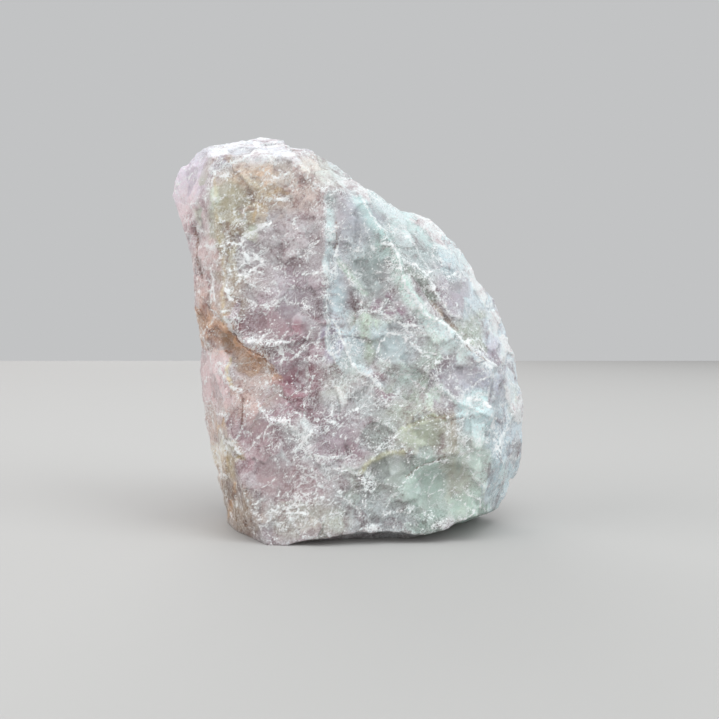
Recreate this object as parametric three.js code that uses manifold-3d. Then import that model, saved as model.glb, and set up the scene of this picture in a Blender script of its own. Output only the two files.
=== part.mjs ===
// A rough chunk of rose quartz, broken from a larger mass and standing on its broken base.
// Millimetres, +Z up. The broad face looks along -Y, and the origin is under the middle of the
// stone, at the centre of its bounding box on the surface that it rests on.
//
// The stone is one solid. A blank is extruded to its outline, fracture planes take the blank
// down to each broken face, and round scars hollow it where flakes came away.

import * as THREE from "three";
import { mergeVertices } from "three/addons/utils/BufferGeometryUtils.js";
import Module from "manifold-3d";

const wasm = await Module();
wasm.setup();

// ---- Driving dimensions ------------------------------------------------------------------------

const FRONT = -38; // the blank's front and back, before the faces are broken off
const BACK = 38;
const BIG = 400; // the side of the block that a fracture plane takes away
const SCAR_DETAIL = 7; // how finely a scar's round tool is divided

const CLEAVED = { color: 0xd9c3c6, roughness: 0.55, metalness: 0 };

// The widest outline, [x, z], clockwise from the foot of the left side.
const OUTLINE = [
  // left side, leaning out as it rises
  [-47, -3], [-47.6, 8], [-49, 15], [-53, 26], [-55, 40], [-56, 52], [-56, 62], [-55, 73],
  [-56, 79], [-56.4, 90], [-59, 103], [-62.4, 113], [-66.8, 124], [-70.4, 131],
  // top, with the knob at its crown
  [-69, 134.4], [-66, 137], [-62, 138], [-57.6, 140.4], [-52, 144], [-48, 145.4],
  [-44.4, 148.2], [-41, 147.8], [-39, 146.8], [-35, 148.8], [-29, 148], [-24.8, 147.6],
  [-23.8, 142.6], [-19.5, 141], [-14, 140.4],
  // the long curve down the right side
  [-8, 138.8], [0, 133.4], [5, 128.4], [8, 127.2], [15, 122], [20, 120.6], [25, 120], [31, 117.2],
  [36, 113.4], [42, 108], [47, 101.8], [49, 97.4], [49.8, 93.8], [54.5, 89.4], [57.8, 84],
  [60.4, 78], [62.2, 72.4], [61.6, 69.4], [63.6, 66], [65.8, 60.6], [65.6, 54.6], [66.4, 48],
  [67.6, 39], [68, 28], [67.4, 21],
  // the undercut foot of the right side
  [64.4, 16.4], [61.8, 17.2], [62.8, 14.4], [60, 10.5], [56, 5], [50, -3],
];

// Each fracture plane: a point on it and the way that it faces, outwards.
const FRACTURES = {
  // the broad front, broken along two planes that meet in an upright ridge
  front_left: { at: [-8.5, -33, 20], facing: [-0.1, -1, 0.07] },
  front_right: { at: [-8.5, -33, 20], facing: [0.1, -1, 0.07] },
  // the left side, which runs back and outwards from the front
  left_bevel: { at: [-47, -22.5, 118], facing: [-0.72, -0.69, -0.02] },
  left_side: { at: [-42.5, -27, 45], facing: [-0.9, -0.42, -0.15] },
  left_foot: { at: [-27, -33, 0], facing: [-0.75, -0.55, -0.36] },
  // the crown
  crown_front: { at: [-32, -22.6, 136], facing: [-0.03, -0.51, 0.86] },
  crown_left: { at: [-62.5, -10, 130.5], facing: [-0.66, -0.61, 0.44] },
  crown_right: { at: [-9, -24, 127], facing: [0.5, -0.62, 0.6] },
  // the bevel along the long curve
  shoulder_upper: { at: [13, -25, 107], facing: [0.53, -0.72, 0.46] },
  shoulder_lower: { at: [40, -27, 73], facing: [0.71, -0.6, 0.38] },
  // the right side below the shoulder
  right_side: { at: [48, -27, 60], facing: [0.83, -0.55, 0.08] },
  right_foot: { at: [50, -28, 22], facing: [0.85, -0.45, -0.27] },
  right_under: { at: [30, -31, 4.4], facing: [0.3, -0.24, -0.92] },
  // the back, from left to right and upwards
  back_left: { at: [-50, 16, 60], facing: [-0.74, 0.66, -0.06] },
  back_low: { at: [-8, 29, 30], facing: [-0.06, 0.98, -0.12] },
  back_high: { at: [-20, 26.5, 82], facing: [-0.1, 0.95, 0.28] },
  back_crown: { at: [-34, 14, 135], facing: [-0.16, 0.72, 0.68] },
  back_crown_left: { at: [-60, 9, 124], facing: [-0.66, 0.66, 0.36] },
  back_shoulder: { at: [22, 20, 98], facing: [0.46, 0.72, 0.52] },
  back_right: { at: [50, 18, 62], facing: [0.66, 0.72, 0.2] },
  back_right_low: { at: [52, 16, 24], facing: [0.6, 0.76, -0.24] },
  back_foot: { at: [-6, 27, 8], facing: [-0.02, 0.72, -0.7] },
  back_foot_left: { at: [-40, 17, 3], facing: [-0.6, 0.5, -0.62] },
  // where it stands
  base: { at: [0, 0, 0], facing: [0, 0, -1] },
};

// Scars where flakes came away: the middle of the round tool that hollows each one, its three
// radii, and its turn about X, Y and Z in degrees.
const SCARS = {
  crown_notch: { at: [-18, -10, 151], radii: [7, 16, 8], turn: [20, 14, 0] },
  shoulder_dip: { at: [19, -22, 138], radii: [17, 20, 16], turn: [0, -38, 30] },
  shoulder_groove: { at: [31.5, -27.2, 83.5], radii: [3, 4, 20], turn: [0, -36, 0] },
  ridge_lee: { at: [5, -42.2, 88], radii: [24, 18, 60], turn: [0, -4, 0] },
  middle_plate: { at: [24, -49, 54], radii: [30, 24, 18], turn: [0, 24, 0] },
  diagonal_ledge: { at: [-41, -33.5, 68], radii: [21, 11, 7], turn: [0, 42, 0] },
  lower_left_flake: { at: [-40, -43, 34], radii: [12, 16, 22], turn: [0, 8, -20] },
  lower_right_flake: { at: [36, -49, 18], radii: [26, 24, 18], turn: [0, -20, 10] },
  front_arch: { at: [10, -35, -5], radii: [38, 14, 9.4], turn: [0, 0, 3] },
  waist: { at: [-66, 2, 84], radii: [10, 24, 16], turn: [0, 8, 0] },
  left_slab: { at: [-59, -18, 93], radii: [6, 14, 24], turn: [0, 12, 30] },
  back_bowl: { at: [16, 60, 46], radii: [56, 30, 40], turn: [0, 24, -6] },
  back_scar: { at: [-30, 45, 104], radii: [34, 26, 52], turn: [0, -20, 0] },
  back_chip: { at: [40, 38, 88], radii: [26, 18, 14], turn: [0, 50, -20] },
  back_arch: { at: [-8, 32, 0], radii: [30, 12, 10], turn: [0, 0, -6] },
};

// ---- Helpers -----------------------------------------------------------------------------------

// A closed three.js geometry as a manifold-3d solid.
function solid(geometry) {
  const shape = geometry.index ? geometry.toNonIndexed() : geometry.clone();
  for (const name of Object.keys(shape.attributes)) {
    if (name !== "position") shape.deleteAttribute(name);
  }
  const merged = mergeVertices(shape, 1e-4);
  return new wasm.Manifold(
    new wasm.Mesh({
      numProp: 3,
      vertProperties: merged.attributes.position.array,
      triVerts: new Uint32Array(merged.index.array),
    }),
  );
}

// A manifold-3d solid as a three.js geometry, with flat faces.
function geometryOf(made) {
  const mesh = made.getMesh();
  const geometry = new THREE.BufferGeometry();
  geometry.setAttribute("position", new THREE.BufferAttribute(mesh.vertProperties, 3));
  geometry.setIndex(new THREE.BufferAttribute(mesh.triVerts, 1));
  const flat = geometry.toNonIndexed();
  flat.computeVertexNormals();
  return flat;
}

// The outline as a slab from FRONT to BACK.
function blank() {
  const shape = new THREE.Shape(OUTLINE.map(([x, z]) => new THREE.Vector2(x, z)));
  const slab = new THREE.ExtrudeGeometry(shape, { depth: BACK - FRONT, bevelEnabled: false });
  slab.rotateX(Math.PI / 2); // the outline's second axis becomes Z, and the depth runs to -Y
  slab.translate(0, BACK, 0);
  return solid(slab);
}

// Everything on the outer side of a plane.
function beyond({ at, facing }) {
  const up = new THREE.Vector3(0, 0, 1);
  const out = new THREE.Vector3(...facing).normalize();
  const block = new THREE.BoxGeometry(BIG, BIG, BIG);
  block.translate(0, 0, BIG / 2);
  block.applyQuaternion(new THREE.Quaternion().setFromUnitVectors(up, out));
  block.translate(...at);
  return solid(block);
}

// The round tool of a scar.
function scoop({ at, radii, turn }) {
  const tool = new THREE.IcosahedronGeometry(1, SCAR_DETAIL);
  tool.scale(...radii);
  const [x, y, z] = turn.map(THREE.MathUtils.degToRad);
  tool.rotateX(x);
  tool.rotateY(y);
  tool.rotateZ(z);
  tool.translate(...at);
  return solid(tool);
}

// ---- The stone ---------------------------------------------------------------------------------

let stone = blank();
for (const plane of Object.values(FRACTURES)) stone = stone.subtract(beyond(plane));
for (const scar of Object.values(SCARS)) stone = stone.subtract(scoop(scar));

const geometry = geometryOf(stone);
geometry.computeBoundingBox();
const { min, max } = geometry.boundingBox;
geometry.translate(-(min.x + max.x) / 2, -(min.y + max.y) / 2, -min.z);

const chunk = new THREE.Mesh(geometry, new THREE.MeshStandardMaterial(CLEAVED));
chunk.name = "rose_quartz_chunk";

const part = new THREE.Group();
part.add(chunk);

export default part;
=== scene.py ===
"""A rough chunk of rose quartz, standing on its broken base on a pale studio floor.

The stone's visible skin starts as a copy of the CAD solid. It is remeshed finely, broken up
into flake scars, steps and cracks, and painted with the milky zones and veins of the mineral,
with painted highlights on its crown and rims, painted glints and painted shade in its hollows.
Lengths in the tables below are millimetres. The scene itself is in metres.
"""

import itertools
import math

import bpy
import numpy as np
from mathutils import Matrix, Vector


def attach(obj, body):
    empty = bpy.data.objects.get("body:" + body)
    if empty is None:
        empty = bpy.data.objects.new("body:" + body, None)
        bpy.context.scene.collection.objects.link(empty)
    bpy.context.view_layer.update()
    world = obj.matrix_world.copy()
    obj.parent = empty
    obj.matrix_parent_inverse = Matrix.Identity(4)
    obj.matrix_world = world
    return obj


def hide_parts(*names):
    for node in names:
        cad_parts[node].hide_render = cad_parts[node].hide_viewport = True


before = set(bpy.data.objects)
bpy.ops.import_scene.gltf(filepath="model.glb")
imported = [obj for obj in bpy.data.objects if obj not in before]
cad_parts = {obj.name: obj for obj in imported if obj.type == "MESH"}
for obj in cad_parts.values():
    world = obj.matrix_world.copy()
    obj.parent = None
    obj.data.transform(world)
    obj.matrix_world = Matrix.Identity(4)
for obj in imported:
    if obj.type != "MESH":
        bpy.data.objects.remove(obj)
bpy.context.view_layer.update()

MM = 0.001

# ---- The view ----

EYE = (4.4, -280.8, 70.0)  # where the camera stands, level with the stone's middle
FOCAL = 36.0  # a lens as long as its sensor is wide
SENSOR = 36.0
RISE = -0.0243  # the lens shift that sets the stone a little above the middle
NEAREST = 0.01  # the camera sees nothing nearer or farther than these, in metres
FARTHEST = 20
FRONT_PLANE = -28.8  # the depth at which the front's features are placed

# ---- The skin ----

VOXEL = 0.52  # the size of the mesh's faces
SEED = 41  # every noise adds its own number to it, so that no two are alike

# Flake scars, from the large breaks to the fine grain: size across, relief in mm, tilt.
FLAKE_SCALES = [
    (23.0, 1.5, 0.9),
    (11.0, 1.0, 0.9),
    (5.2, 0.5, 0.9),
    (2.4, 0.24, 0.8),
    (1.25, 0.08, 0.7),
]
FLAKE_MEAN = 0.25  # a scar's mean height, taken off so that the stone doesn't swell
FLAKE_RIDGE = 0.16  # how wide the ridge between two scars is
FLAKE_CREST = 0.9  # how much frost such a ridge holds
PLATE_SIZE = 8.0
PLATE_STEP = 0.7  # how far one plate can stand out beyond the next
PLATE_EDGE = 0.1  # how wide the edge of a plate is
PLATE_CREST = 0.8  # how much frost such an edge holds
FROSTED_PLATES = (0.35, 0.6)  # the plates' random number over which their edges get frosted
GRAIN_SIZE = 1.9
GRAIN_RELIEF = 0.08
RIPPLE_SHARE = 0.12  # a ripple's height as a share of its scar's depth
RIPPLE_RATE = 14
LINE_SLOPE = 0.5  # how far a vein or a crack slopes away on each side
VEIN_RISE = 0.15
WIDEST_VEIN = 0.6
VEIN_FROST = 1.2  # how far loose frost gathers on each side of a vein
CRACK_DEPTH = 0.5
REST_BAND = 5.0  # the relief dies away over this height above the floor
REST_SHARE = 0.25  # the share of the relief that is left at the floor
BASE_BAND = 0.4 * VOXEL  # whatever is lower than this belongs to the flat base

RICHNESS = 1.4  # how strongly the zones stand out from plain mauve
TINT = 1.22  # how strongly they are coloured
PLAIN_WEIGHT = 0.5  # how much plain mauve is mixed in everywhere
MEAN_TONE = 0.97
TONE_LIMITS = (0.03, 0.85)  # the darkest and the lightest colour, as linear light
PLATE_TONE = 0.38  # how much lighter or darker one plate is than the next
PLATE_SHIFT = 6.0  # how far apart the colours of neighbouring plates are taken from
FAR_SIDE = (-2.0, 10.0)  # the depths over which the sides give up the front's colours
FAR_SHARE = 0.65
LOOSE_FROST = 0.15  # how much frost is scattered over the front
CALM_EDGE = 1.5  # how sharply a calm place ends

# How ragged each kind of drawing is: the size of its wander and how far it strays.
RAGGED_FLAKES = (13.0, 2.6)
RAGGED_PLATES = (7.0, 2.4)
RAGGED_LEDGES = (7.0, 0.9)
RAGGED_ZONES = (6.0, 1.8)
RAGGED_BANDS = (4.0, 0.9)
RAGGED_CALM = (8.0, 3.0)
RAGGED_FROST = (5.0, 1.6)
RAGGED_LINES = (2.6, 1.1)
RAGGED_HIDDEN = (9.0, 2.5)

# The front's features fade in between these two numbers, where -1 is skin that looks straight back
# and 1 is skin that looks straight to the front.
SEEN_RELIEF = (0.1, 0.35)
SEEN_COLOUR = (-0.3, 0.25)
SEEN_FROST = (-0.1, 0.2)
SEEN_LINES = (0.0, 0.3)
HIDDEN_LINES = (-0.1, 0.3)  # the same for the veins of the back, the other way round

# Rounds of averaging: for the way that the stone's faces look, for the way that the relief moves
# the skin, and for the height that hollows are measured from, for the shade painted in them.
SOFT_ROUNDS = 24
PUSH_ROUNDS = 4
HOLLOW_ROUNDS = 30
HOLLOW_RANGE = 2.4  # mm from the deepest hollow to the highest hump

# Ledges: height, how far the surface takes to fall away on the left of the line's direction and on
# its right, then the line's points [x, z] on the front plane.
LEDGES = [
    # the white edge over the diagonal break on the left
    (1.7, 6, 1, (-44, 80), (-38, 74), (-35, 70), (-28, 68.5), (-20, 69.5)),
    # the upright edge down the middle, falling to the right
    (1.3, 5, 1.6, (-7.5, 122), (-8.5, 100), (-8, 84), (-7, 72), (-4, 62)),
    # the streaks that run on from it
    (1.1, 1.5, 5, (-2, 77), (0, 70), (5, 63), (10, 57)),
    (0.9, 4, 1.2, (3, 84), (6, 77), (10, 72)),
    # the long white ridge on the right and the crack below it
    (1.6, 1.4, 5, (12, 108), (18, 98), (21, 90), (27, 80), (34, 75), (41, 70), (47, 65), (52, 61)),
    # the crest of the shoulder
    (0.9, 4, 3, (-12, 126), (-2, 122), (6, 116), (12, 108)),
    # the bright crack low on the left
    (1, 1, 4.5, (-28, 45), (-26, 42), (-20, 42.5), (-16, 40), (-10, 38)),
    (0.7, 2.5, 1, (-26, 42), (-28.5, 36), (-28, 32)),
    # the plates of the lower right
    (1, 4.5, 1.2, (2, 25), (8, 28), (14, 31), (20, 32), (27, 29), (38, 31)),
    (0.9, 1.2, 4, (22, 40), (30, 43), (40, 44), (50, 46)),
    (0.9, 5, 1.2, (36, 10), (37, 24), (38, 36), (37, 45)),
    (1.1, 4, 1.2, (31, 57), (35, 52), (40, 48), (50, 44)),
    (0.6, 1.5, 4, (-5, 19), (6, 22), (7, 12)),
    (0.7, 2, 2, (30, 63), (30.5, 54), (30, 45)),
    # the left side's thin slabs
    (1.2, 3, 0.9, (-55, 112), (-52, 98), (-50, 84), (-48, 72)),
    (1.1, 3.5, 0.9, (-51, 60), (-50, 46), (-48, 34), (-46, 22)),
    (0.8, 2, 4, (-46, 120), (-44, 104), (-43, 88), (-42, 74)),
    (0.8, 1.2, 3, (-42, 60), (-42, 44), (-42, 28), (-42, 14)),
    # the crown
    (1, 1.2, 5, (-44, 133), (-38, 136), (-30, 137), (-22, 137)),
]

# Grooves: depth, half width, points.
GROOVES = [
    (0.4, 0.8, (23, 95), (27, 88), (31, 82)), (0.6, 0.6, (40, 71), (46, 66), (51, 62)),
    (0.7, 1.6, (-50, 80), (-45, 74), (-41, 70), (-35, 66), (-28, 60)),
    (0.6, 0.5, (-23, 52), (-18, 47), (-14, 44)), (0.3, 0.8, (12, 59), (18, 58), (24, 59)),
    (0.8, 1.2, (52, 60), (51, 50), (52, 30), (50, 16)),
    (0.9, 1, (-50, 70), (-47, 58), (-46, 40), (-45, 24)),
]

# Round conchoidal scars with their ripples: centre, radius, depth.
RIPPLES = [
    ((16, 70), 6.5, 0.9),
    ((-17, 57), 7, 0.9),
    ((34, 20), 12, 0.8),
    ((40, 55), 8, 0.7),
    ((-22, 96), 11, 0.7),
]

# ---- Colours, as they look in soft daylight ----

MAUVE = (180, 172, 175)
ROSE = (178, 160, 166)
DEEP_ROSE = (152, 124, 130)
FROSTED_PINK = (220, 212, 222)
SKY_WHITE = (196, 216, 218)
SNOW = (232, 238, 242)
RUST = (199, 170, 151)
HONEY = (200, 188, 142)
HONEY_RUST = (196, 172, 146)

# Milky zones: x and z of the middle on the front plane, half width, half height, colour, weight,
# and the turn in degrees of those that are turned.
ZONES = [
    # the left side, from the crown down; the pale top-left facet is partly painted rim light
    (-57, 129, 9, 8, FROSTED_PINK, 4, 20), (-54, 114, 6, 10, (208, 194, 197), 3, 10),
    (-50, 98, 4, 14, (205, 186, 184), 2.4, 8), (-47.5, 112, 2.2, 12, (204, 206, 192), 2.4, 6),
    (-49, 82, 3, 6, (204, 178, 166), 2, 10), (-46, 74, 5, 6, RUST, 2.4, 35),
    (-47, 58, 4.5, 10, (212, 194, 195), 3, 4), (-46, 40, 4, 8, (198, 180, 172), 2, 6),
    (-44, 26, 4, 8, (200, 186, 174), 2, 8), (-38, 10, 6, 9, (164, 146, 132), 2.4, 20),
    # the crown, pale partly in its own colour and partly as painted highlight from above
    (-33, 137, 20, 3, (216, 216, 222), 4), (-56, 136, 12, 3, (214, 212, 222), 3, 28),
    (-18, 131, 14, 5, (212, 204, 198), 3, -8), (-38, 130, 9, 4, (200, 190, 182), 2),
    # ochre and pale olive under it
    (-40, 120, 8, 8, (184, 177, 161), 3), (-29, 122, 5, 6, (188, 172, 156), 2.2, -20),
    (-42, 106, 4, 12, (183, 175, 157), 3, 4), (-42, 88, 3.4, 10, (180, 165, 154), 2, 2),
    (-20, 120, 9, 6, (192, 178, 172), 1.8),
    # the mauve middle
    (-24, 104, 12, 9, (184, 178, 180), 2), (-33, 93, 7, 5, (175, 165, 165), 2.4, 20),
    (-20, 88, 11, 8, (172, 160, 166), 2.4), (-29, 77, 9, 6, (160, 140, 144), 3.4, -10),
    (-14, 82, 5, 7, (180, 172, 176), 1.6), (-16, 70, 7, 6, (164, 144, 150), 2.4),
    (-28, 70, 8, 2.5, (200, 192, 194), 1.8, -10), (-33, 64, 5, 4, (200, 174, 157), 3.4, -35),
    (-29, 54, 6, 5, (184, 170, 166), 1.6, -30), (-18, 56, 6, 5, DEEP_ROSE, 4),
    (-20, 46, 7, 4, (172, 150, 156), 2.4, -20), (-36, 48, 5, 6, (196, 176, 170), 1.6),
    (-33, 38, 7, 6, (176, 156, 160), 2.2), (-31, 27, 7, 6, (176, 160, 163), 2),
    (-16, 36, 4, 5, (218, 222, 222), 4, 30), (-20, 20, 10, 6, (168, 151, 153), 2),
    (-5, 38, 6, 6, (162, 152, 157), 3), (2, 32, 6, 4, (160, 142, 148), 2.4, -20),
    (-16, 8, 9, 5, (182, 178, 172), 2), (-3, 22, 5, 5, (186, 184, 184), 1.4),
    # the cool middle, right of the upright edge
    (5, 112, 6, 9, (172, 172, 178), 2.6, -10), (3, 98, 3.5, 10, (184, 192, 192), 1.8),
    (12, 102, 5, 10, (190, 204, 202), 2.2, -20), (9, 90, 5, 7, (169, 171, 172), 2),
    (9, 78, 5, 5, (184, 191, 184), 1.8, -20), (14, 70, 6, 6, (184, 194, 196), 2),
    (20, 78, 6, 5, (172, 174, 176), 1.8, -20), (0, 62, 5, 4, (186, 192, 186), 1.6),
    (6, 50, 8, 5, (174, 176, 176), 1.8), (-4, 57, 6, 5, (212, 212, 208), 2.2),
    (20, 59, 6, 4, (206, 216, 212), 3.4, 10), (28, 66, 4, 7, (196, 206, 200), 1.8, -20),
    # the shoulder: cool white, partly the stone's milk and partly painted sky light
    (-4, 130, 8, 4, (220, 224, 220), 3, -25), (10, 121, 9, 3.5, (214, 228, 226), 4, -35),
    (27, 112, 10, 4, (210, 226, 224), 4, -38), (26, 100, 7, 6, (186, 194, 194), 2.4, -30),
    (38, 100, 5, 6, (198, 210, 214), 2.4, -40), (36, 88, 6, 5, (176, 170, 176), 2.6, -40),
    (46, 86, 4, 6, (206, 214, 218), 3, -30), (45, 74, 5, 5, (190, 195, 186), 2, -40),
    (52, 74, 3, 7, (216, 222, 228), 4, -20), (52, 66, 4, 4, (188, 180, 190), 2),
    (37, 68, 5, 4, (212, 222, 220), 3, -35), (38, 57, 7, 5, (182, 178, 184), 2.4),
    (48, 55, 5, 5, (194, 196, 206), 2), (57, 55, 3, 8, (228, 232, 238), 4),
    # the green lower right
    (20, 46, 7, 5, (173, 178, 169), 2), (26, 38, 6, 5, (180, 184, 171), 2.4),
    (33, 42, 5, 4, (178, 176, 166), 2), (16, 24, 8, 6, (162, 166, 162), 2.6),
    (12, 36, 6, 5, (168, 172, 168), 2), (28, 21, 7, 9, (181, 191, 185), 4),
    (38, 24, 4, 12, (203, 204, 195), 3), (28, 8, 8, 4, (154, 165, 159), 2.8),
    (43, 12, 6, 6, (178, 192, 184), 2.6), (46, 44, 4, 6, (200, 214, 216), 3),
    # the right rim, x 52 and beyond: pale and cool, partly its own colour, partly painted highlight
    (45, 30, 4, 9, (201, 211, 205), 2.6), (52, 36, 4, 12, (192, 202, 207), 2.6),
    (58, 42, 3, 12, (210, 220, 227), 3.4), (54, 22, 5, 8, (206, 220, 225), 3.4),
    (60, 49, 1.2, 5, HONEY, 2.4),
    # small spots
    (-17.5, 57.5, 2.2, 2.2, (140, 108, 116), 5), (-15, 75, 2.6, 1.5, (152, 120, 126), 4, 20),
    (-36, 76, 1.4, 1.8, (150, 116, 116), 4), (-33, 28, 2, 2, (160, 134, 140), 3),
    (20, 82, 2, 2, (150, 130, 140), 5), (23, 78, 2.4, 2, (150, 128, 138), 5),
    (12, 82.6, 2, 2, (150, 130, 140), 5), (13, 54, 2.4, 2, (158, 140, 146), 4),
    (40, 26, 2, 4, (168, 166, 158), 2.4, 15), (46, 47, 3.4, 2.8, (216, 232, 232), 6, -20),
    (-42.6, 41, 1, 2.6, (196, 164, 122), 3), (-44, 33, 3, 3, (216, 214, 202), 5),
    (-40, 27, 2, 5, (190, 174, 146), 3), (3, 67, 3, 6, (190, 202, 206), 2, -20),
    (-4, 71, 1.8, 5, (184, 176, 190), 5, -15), (7.6, 72, 1.6, 8, (194, 204, 190), 3),
    (29.8, 57, 1.6, 8, (204, 216, 206), 4), (41, 73, 5, 4, (190, 195, 185), 1.6, -45),
    (-33, 128.6, 8, 2.6, (206, 182, 164), 4), (-48.4, 116, 2.2, 6, (208, 218, 206), 4),
    (-37, 110, 3, 3, (196, 200, 184), 3), (24, 40, 4, 2.6, (188, 190, 178), 2.4, 20),
    (3, 18, 3, 5, (186, 192, 184), 3), (-4, 6, 5, 3, (180, 180, 173), 2.4, 10),
    # the foot
    (6, 14, 8, 6, (172, 176, 176), 2), (14, 6, 10, 4, (180, 182, 184), 1.8),
]

# Bands of colour along lines that run up or to the right: how far the colour reaches over the
# line's left or upper side and over its right or lower side, colour, weight, points.
BANDS = [
    # the upright band down the middle and the streaks that run on from it
    (0.3, 1.4, (214, 222, 222), 4, (-4, 62), (-6.6, 66.4), (-7.4, 72), (-7.8, 82), (-8, 98)),
    (0.3, 4.6, (206, 214, 219), 2.8, (-4, 62), (-6.6, 66.4), (-7.4, 72), (-7.8, 82), (-8, 98)),
    (1.6, 2.4, (188, 201, 204), 1.6, (-2, 80), (-4, 86), (-5.6, 92)),
    (0.9, 1.6, (198, 209, 209), 2, (-7, 99), (-6, 108), (-6.6, 120)),
    (1.8, 0.4, (212, 221, 224), 3, (-5, 77), (-2, 71), (1, 64), (5, 60), (11, 55)),
    (1, 0.5, (200, 214, 200), 2.5, (-3, 98), (1, 93), (6, 87)),
    # the two light ridges that run down to the right
    (0.4, 2.2, (200, 220, 218), 4, (5, 120), (9, 112), (13, 108)),
    (1, 2.2, (202, 218, 212), 4, (13, 104), (17, 102), (19, 94), (22, 87), (28, 79), (36, 73)),
    (0.4, 2, (204, 212, 216), 4, (28, 78), (38, 72), (46, 65), (52, 60)),
    (1.5, 1.1, (164, 168, 162), 3.4, (22, 95), (26, 91), (30, 85)),
    (0.5, 0.6, (176, 156, 142), 3, (30, 84), (34, 79), (38, 75)),
    (0.3, 0.9, (206, 214, 212), 3, (31, 56), (34, 53), (38, 49)),
    # the pale green lobe at the lower right, the brown seam beside it and the last upright edge
    (0.4, 7, (184, 196, 190), 1.6, (20, 21), (24, 25), (28, 28), (35, 29.5)),
    (1.3, 1.3, (170, 160, 150), 2, (36.6, 18), (37, 30), (36.4, 44)),
    (0.5, 0.5, (214, 228, 230), 2, (50.5, 10), (51, 30), (50.6, 45)),
    # the dark mauve plate over the sharp edge low in the middle
    (7, 0.5, (160, 147, 152), 2.4, (-12, 30), (-6, 29.6), (2, 30)),
    # the bright rim of the shoulder and the right side: a painted highlight where light catches it
    (5, 2.6, (228, 234, 236), 4.4, (-2, 129), (5, 124), (15, 117.5), (26, 114), (36, 105),
     (44, 96), (46, 91)),
    (5, 2.6, (226, 233, 238), 4.4, (46, 91), (52, 83), (55, 74), (58, 64), (60, 52), (61, 40)),
    # honey and rust along the left
    (0.3, 2.8, RUST, 5, (-51, 82), (-47, 79), (-42.4, 76), (-38, 71), (-34, 68), (-30, 65),
     (-25, 60)),
    (1.4, 1.4, (188, 161, 142), 3, (-51, 79), (-47, 75), (-42, 71), (-38, 68)),
    (0.4, 0.4, (196, 182, 156), 3, (-43.4, 96), (-44.4, 105), (-45.4, 112), (-46, 120), (-46, 128)),
    (0.3, 0.3, (204, 190, 166), 3, (-42.4, 76), (-42.8, 86), (-43.2, 96)),
    (0.3, 0.4, (204, 194, 160), 3, (-40.6, 54), (-41.4, 58), (-41.5, 64)),
    (0.5, 0.5, (190, 170, 142), 2.5, (-33, 112), (-31, 117), (-28, 121), (-24, 123), (-20, 122)),
    (0.5, 0.5, (200, 166, 130), 2.5, (-41.4, 9), (-40.4, 14), (-40, 20)),
    # olive cracks at the lower right
    (0.5, 0.9, (186, 182, 162), 4, (4, 25), (9, 28.6), (14, 31.4), (20, 32)),
    (0.3, 1.2, (188, 190, 168), 3, (20, 40), (25, 42), (30, 44), (34, 44)),
]

# Clouds of colour on the sides that face away: size, the noise over which each comes in, how much
# of it there is, its own number for SEED, colour.
HIDDEN_CLOUDS = [
    (26, (-0.5, 0.6), 1, 400, FROSTED_PINK),
    (22, (0.1, 0.6), 0.6, 420, SKY_WHITE),
    (16, (0.3, 0.6), 0.6, 440, HONEY_RUST),
]

# Places thick with frost: x and z of the middle, half width, half height, strength, turn.
FROSTY = [
    (-38, 92, 6, 7, 0.85, 20), (-34, 101, 6, 3, 0.8, 15), (-26, 87, 7, 2.5, 0.5, -30),
    (-38, 76, 3, 5, 1, 30), (-25, 68, 8, 2.5, 1, -8), (-20, 66, 3, 4, 0.8, 20),
    (-43, 103, 3, 10, 0.6), (-24, 43, 5, 3, 1, -10), (-16, 36, 4, 6, 0.9, 30),
    (-26, 34, 3, 6, 0.7, 10), (-18, 10, 7, 6, 0.9, 30), (-14, 22, 6, 5, 0.6),
    (-2, 55, 6, 5, 0.8, 20), (8, 22, 3, 6, 0.8), (2, 30, 6, 2, 0.6, -15), (0, 66, 4, 10, 0.6, -35),
    (6, 84, 4, 6, 0.7, -20), (16, 96, 5, 10, 0.8, -30), (28, 78, 5, 8, 0.9, -40),
    (42, 70, 8, 4, 0.8, -40), (38, 90, 7, 7, 0.7, -40), (10, 122, 12, 3, 0.9, -35),
    (30, 112, 10, 4, 0.95, -40), (-34, 139, 20, 3, 0.8), (30, 58, 5, 8, 0.7), (46, 50, 7, 4, 0.8),
    (20, 38, 7, 4, 0.5, 20), (38, 30, 4, 5, 0.7), (-45, 30, 3, 8, 0.7), (-48, 66, 3, 8, 0.5),
    (57, 60, 4, 10, 0.8), (-5, 95, 3, 5, 1.1), (-5.5, 108, 2, 8, 0.7), (-5, 70, 2.4, 7, 0.7, -10),
    (37, 101, 7, 6, 0.6, -40), (57, 38, 4, 14, 0.7), (54, 20, 4, 6, 0.6), (-48, 46, 3, 12, 0.5),
    (44, 96, 4, 7, 0.8, -40), (52, 82, 4, 8, 0.85, -20),
]

# Smooth, glassy places with little frost: x and z of the middle, half width, half height.
CALM = [
    (-57, 126, 9, 10), (4, 113, 9, 7), (-3, 86, 2.4, 6), (-24, 78, 8, 6), (28, 20, 8, 10),
    (42, 12, 8, 6), (45, 32, 4, 10), (-18, 57, 5, 5), (-43, 70, 4, 6), (-20, 52, 6, 3),
    (15, 25, 8, 6), (38, 24, 4, 10), (24, 38, 8, 5), (16, 68, 6, 6), (0, 36, 7, 5),
    (-32, 40, 6, 5), (-27, 24, 8, 7), (-18, 76, 7, 6), (40, 88, 6, 5), (40, 57, 7, 4),
    (9, 92, 5, 8), (-48, 58, 4, 9), (-41, 122, 6, 6),
]

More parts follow.
